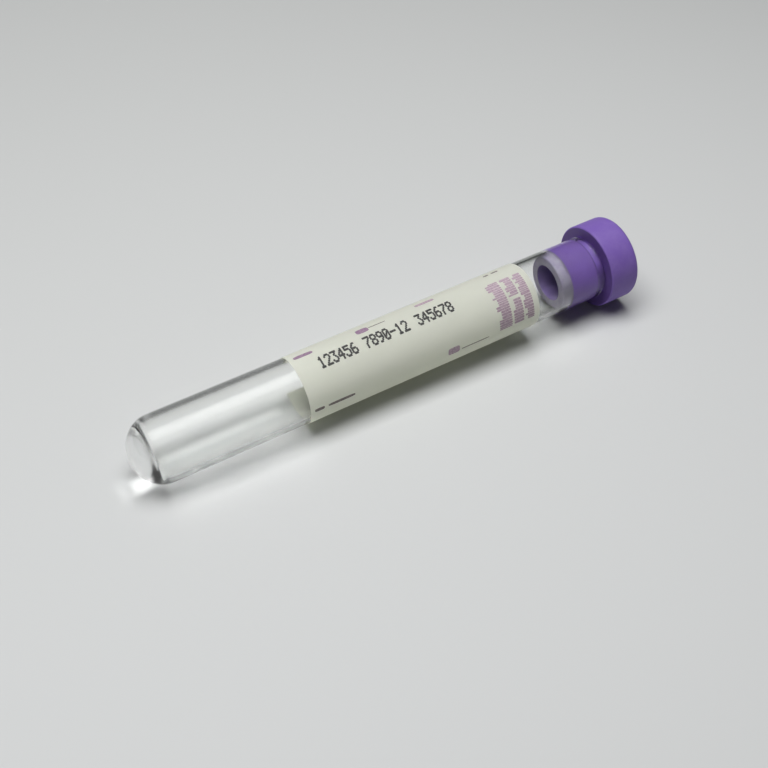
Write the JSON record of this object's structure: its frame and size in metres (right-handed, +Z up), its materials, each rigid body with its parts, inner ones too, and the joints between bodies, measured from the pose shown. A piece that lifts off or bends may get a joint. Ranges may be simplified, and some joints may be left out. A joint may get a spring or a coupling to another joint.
{
  "type": "blood collection tube",
  "caption": "Glass blood collection tube lying on its side, with a round bottom, a wrapped paper label and a purple rubber stopper that pulls out of its mouth.",
  "frame": {"origin": "on the bench, under the middle of the whole object's box", "axes": "+X along the tube towards the stopper, +Z up; the tube's own axis rises 1.27 degrees towards +X, because the head is wider than the tube"},
  "size_m": [0.107, 0.0172, 0.0173],
  "materials": {
    "clear_glass": "smooth clear",
    "label_paper": "matte uncoated, white",
    "purple_rubber": "satin moulded"
  },
  "bodies": {
    "tube": {"glass_tube": "clear_glass", "label": "label_paper"},
    "closure": {"stopper": "purple_rubber"}
  },
  "joints": [
    {"name": "stopper_pull", "type": "slide", "parent": "tube", "child": "closure", "axis": [0.9998, 0, 0.0222], "range_m": [0, 0.015]}
  ]
}
